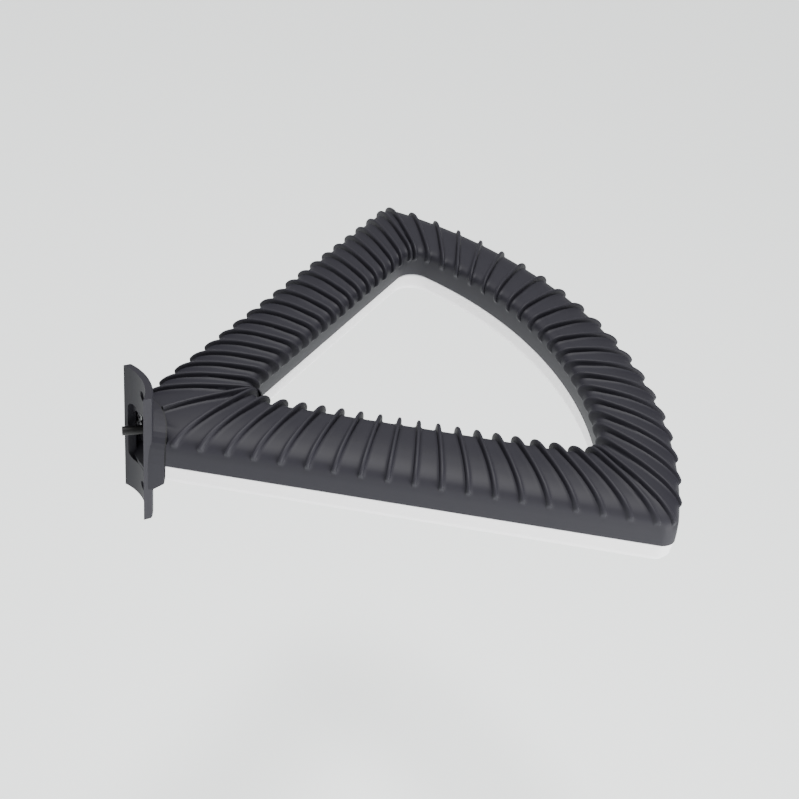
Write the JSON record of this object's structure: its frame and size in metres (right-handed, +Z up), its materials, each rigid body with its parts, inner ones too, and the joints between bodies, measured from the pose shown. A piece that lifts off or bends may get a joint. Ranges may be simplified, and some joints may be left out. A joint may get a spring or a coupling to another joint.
{
  "type": "ring luminaire",
  "caption": "Sector-shaped ring luminaire with a ribbed heat-sink housing, an opal diffuser below and a curved pole saddle on a hollow neck.",
  "frame": {"origin": "centre of the two pole bolt holes, on the hollow face of the saddle", "axes": "+X away from the pole along the axis of symmetry, +Z up, +Y to the far side"},
  "size_m": [0.5907, 0.6566, 0.16],
  "materials": {
    "charcoal_paint": "die-cast aluminium with a charcoal satin powder coat",
    "black_rubber": "matt moulded rubber",
    "stainless_steel": "bright stainless",
    "bare_aluminium": "mill finish",
    "board_white": "white solder mask",
    "diode_yellow": "silicone-filled phosphor",
    "driver_case": "white moulded case",
    "surge_case": "red moulded case",
    "terminal_plastic": "natural polyamide",
    "earth_brass": "plain",
    "gland_plastic": "black polyamide",
    "lead_rubber": "matt rubber sheath",
    "core_insulation": "PVC insulation",
    "opal_acrylic": "opal, satin surface",
    "silicone": "translucent silicone",
    "spring_steel": "rolled spring strip"
  },
  "bodies": {
    "luminaire": {"housing": "charcoal_paint", "pole_bracket": "charcoal_paint", "bracket_gasket": "black_rubber", "bracket_screws": "stainless_steel", "led_carrier": "bare_aluminium", "carrier_screws": "stainless_steel", "led_board_near": "board_white", "led_board_far": "board_white", "led_board_arc_near": "board_white", "led_board_arc_mid": "board_white", "led_board_arc_far": "board_white", "board_screws": "stainless_steel", "leds_near": "diode_yellow", "leds_far": "diode_yellow", "leds_arc": "diode_yellow", "driver_near": "driver_case", "driver_far": "driver_case", "driver_screws": "stainless_steel", "surge_protector": "surge_case", "terminal_block": "terminal_plastic", "earth_screw": "earth_brass", "gland_body": "gland_plastic", "gland_nut": "gland_plastic", "gland_seal": "black_rubber", "gland_locknut": "gland_plastic", "breather_vent": "gland_plastic", "supply_lead": "lead_rubber", "lead_cores": "core_insulation", "driver_leads": "core_insulation", "led_leads": "core_insulation", "diffuser_springs": "spring_steel"},
    "diffuser_unit": {"diffuser": "opal_acrylic", "diffuser_gasket": "silicone"}
  },
  "joints": [
    {"name": "diffuser_release", "type": "slide", "parent": "luminaire", "child": "diffuser_unit", "axis": [0, 0, -1], "range_m": [0, 0.12]}
  ]
}
